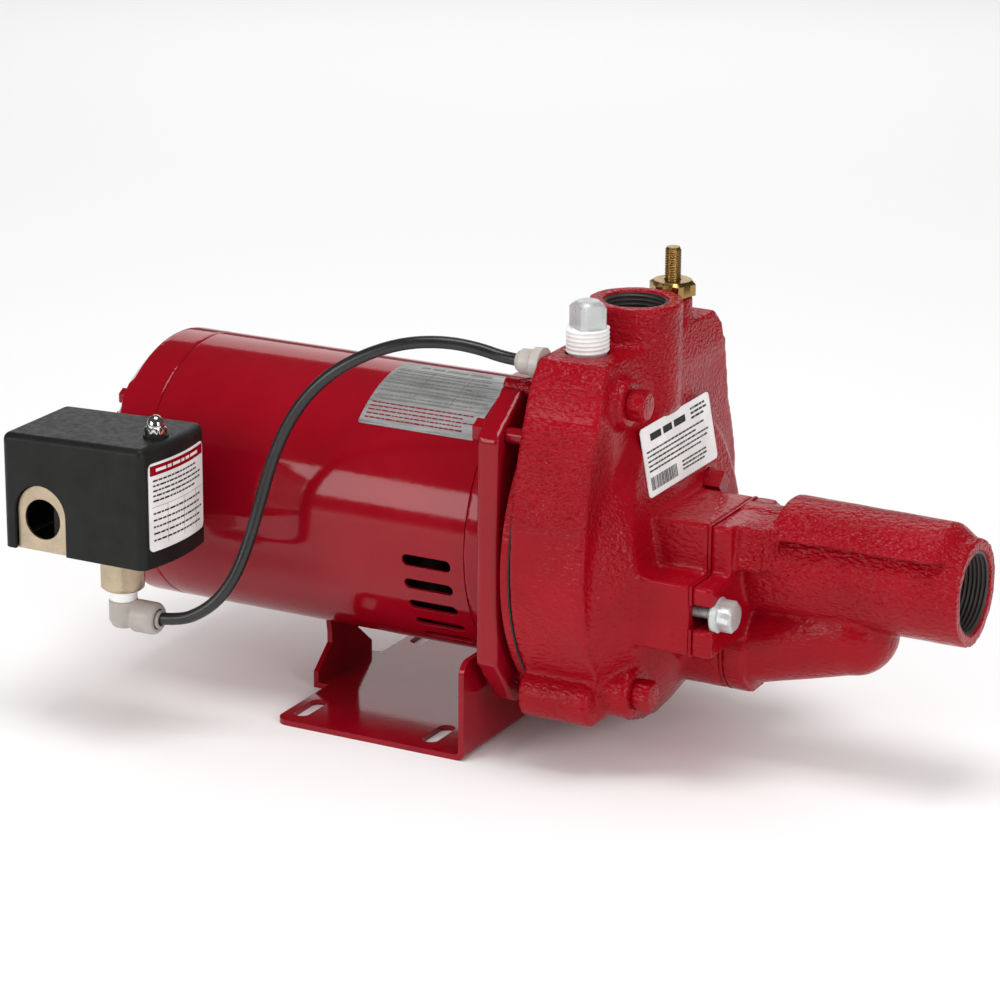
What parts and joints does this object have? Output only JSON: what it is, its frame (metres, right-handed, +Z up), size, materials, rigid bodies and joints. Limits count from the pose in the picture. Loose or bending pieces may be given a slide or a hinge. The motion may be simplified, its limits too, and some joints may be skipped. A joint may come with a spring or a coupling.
{
  "type": "shallow well jet pump",
  "caption": "Horizontal electric jet pump on a pressed base: cylindrical motor, cast casing with top outlet, bolted jet body with suction port, and a side pressure switch with tube.",
  "frame": {"origin": "centre of the four base slots, on the face that the pump stands on", "axes": "+X along the shaft towards the suction port, +Z up, -Y towards the pressure switch"},
  "size_m": [0.4676, 0.2398, 0.248],
  "materials": {
    "red_enamel": "smooth gloss red enamel on steel",
    "red_cast": "gloss red paint over rough sand casting",
    "lamination": "dull laminated steel",
    "winding": "varnished copper wire",
    "bright_steel": "ground steel",
    "zinc": "clear zinc plating",
    "zinc_gold": "pale yellow zinc plating",
    "bright_nickel": "bright nickel plating",
    "grey_moulding": "moulded grey plastic",
    "grey_plastic": "warm grey acetal",
    "black_plastic": "satin black moulding",
    "board": "brown phenolic board",
    "foil": null,
    "label": null,
    "gasket": "black rubber sheet",
    "ceramic": "white sintered ceramic",
    "carbon": "pressed carbon",
    "noryl": "glass-filled black plastic",
    "brass": "machined brass",
    "grey_iron": "bare grey malleable iron",
    "tape": "white thread tape",
    "black_tube": "black nylon tube"
  },
  "bodies": {
    "pump": {"motor_base": "red_enamel", "motor_shell": "red_enamel", "rear_end_bell": "red_enamel", "front_end_bell": "red_enamel", "through_bolts": "red_enamel", "flange_screws": "red_enamel", "stator_core": "lamination", "stator_windings": "winding", "front_bearing": "bright_steel", "rear_bearing": "bright_steel", "start_switch": "board", "capacitor": "black_plastic", "terminal_board": "board", "motor_nameplate": "foil", "seal_adapter": "red_cast", "casing_gasket": "gasket", "seal_seat": "ceramic", "diffuser": "noryl", "diffuser_ring": "gasket", "pump_casing": "red_cast", "casing_bolts": "red_enamel", "pump_label": "foil", "jet_gasket": "gasket", "jet_body": "red_cast", "jet_bolts": "zinc", "nozzle": "brass", "venturi": "noryl", "front_plugs": "grey_iron", "regulator_bonnet": "brass", "switch_base": "zinc_gold", "cover_stud": "zinc", "port_housing": "zinc_gold", "membrane": "gasket", "pivot_bracket": "zinc", "spring_posts": "zinc", "switch_springs": "bright_steel", "spring_nuts": "zinc", "terminal_block": "black_plastic", "conduit_nipple": "zinc", "conduit_locknut": "zinc", "tube_elbow": "grey_plastic", "tube_connector": "grey_plastic", "pressure_tube": "black_tube"},
    "rotor": {"motor_shaft": "bright_steel", "rotor_core": "lamination", "governor": "zinc", "shaft_slinger": "gasket", "seal_head": "carbon", "seal_spring": "bright_steel", "impeller": "noryl"},
    "governor_collar": {"governor_collar": "grey_moulding"},
    "regulator_disc": {"regulator_disc": "brass"},
    "regulator_stem": {"regulator_stem": "brass"},
    "switch_cover": {"switch_cover": "black_plastic", "acorn_nut": "bright_nickel", "switch_label": "label"},
    "contact_lever": {"contact_lever": "brass"},
    "plunger": {"plunger": "zinc"},
    "priming_plug": {"priming_plug": "grey_iron", "plug_tape": "tape"}
  },
  "joints": [
    {"name": "rotor_spin", "type": "hinge", "parent": "pump", "child": "rotor", "pos_m": [0, 0, 0.1048], "axis": [1, 0, 0], "continuous": true},
    {"name": "collar_slide", "type": "slide", "parent": "rotor", "child": "governor_collar", "axis": [1, 0, 0], "range_m": [0, 0.003]},
    {"name": "regulator_lift", "type": "slide", "parent": "pump", "child": "regulator_disc", "axis": [0, 0, 1], "range_m": [-0.003, 0.005]},
    {"name": "regulator_turn", "type": "hinge", "parent": "regulator_disc", "child": "regulator_stem", "pos_m": [0.1188, 0.036, 0.22], "axis": [0, 0, 1], "range_deg": [-870, 1446]},
    {"name": "cover_lift", "type": "slide", "parent": "pump", "child": "switch_cover", "axis": [0, 0, 1], "range_m": [0, 0.068]},
    {"name": "lever_rock", "type": "hinge", "parent": "pump", "child": "contact_lever", "pos_m": [-0.1252, -0.115, 0.1074], "axis": [0, -1, 0], "range_deg": [0, 8], "stiffness_Nm_per_rad": 0.2},
    {"name": "plunger_rise", "type": "slide", "parent": "pump", "child": "plunger", "axis": [0, 0, 1], "range_m": [0, 0.0012]},
    {"name": "plug_lift", "type": "slide", "parent": "pump", "child": "priming_plug", "axis": [0, 0, 1], "range_m": [0, 0.03]}
  ],
  "couplings": [
    {"joint": "regulator_turn", "follows": "regulator_lift", "rad_per_m": 5026.5},
    {"joint": "plunger_rise", "follows": "lever_rock", "m_per_rad": 0.0078}
  ]
}
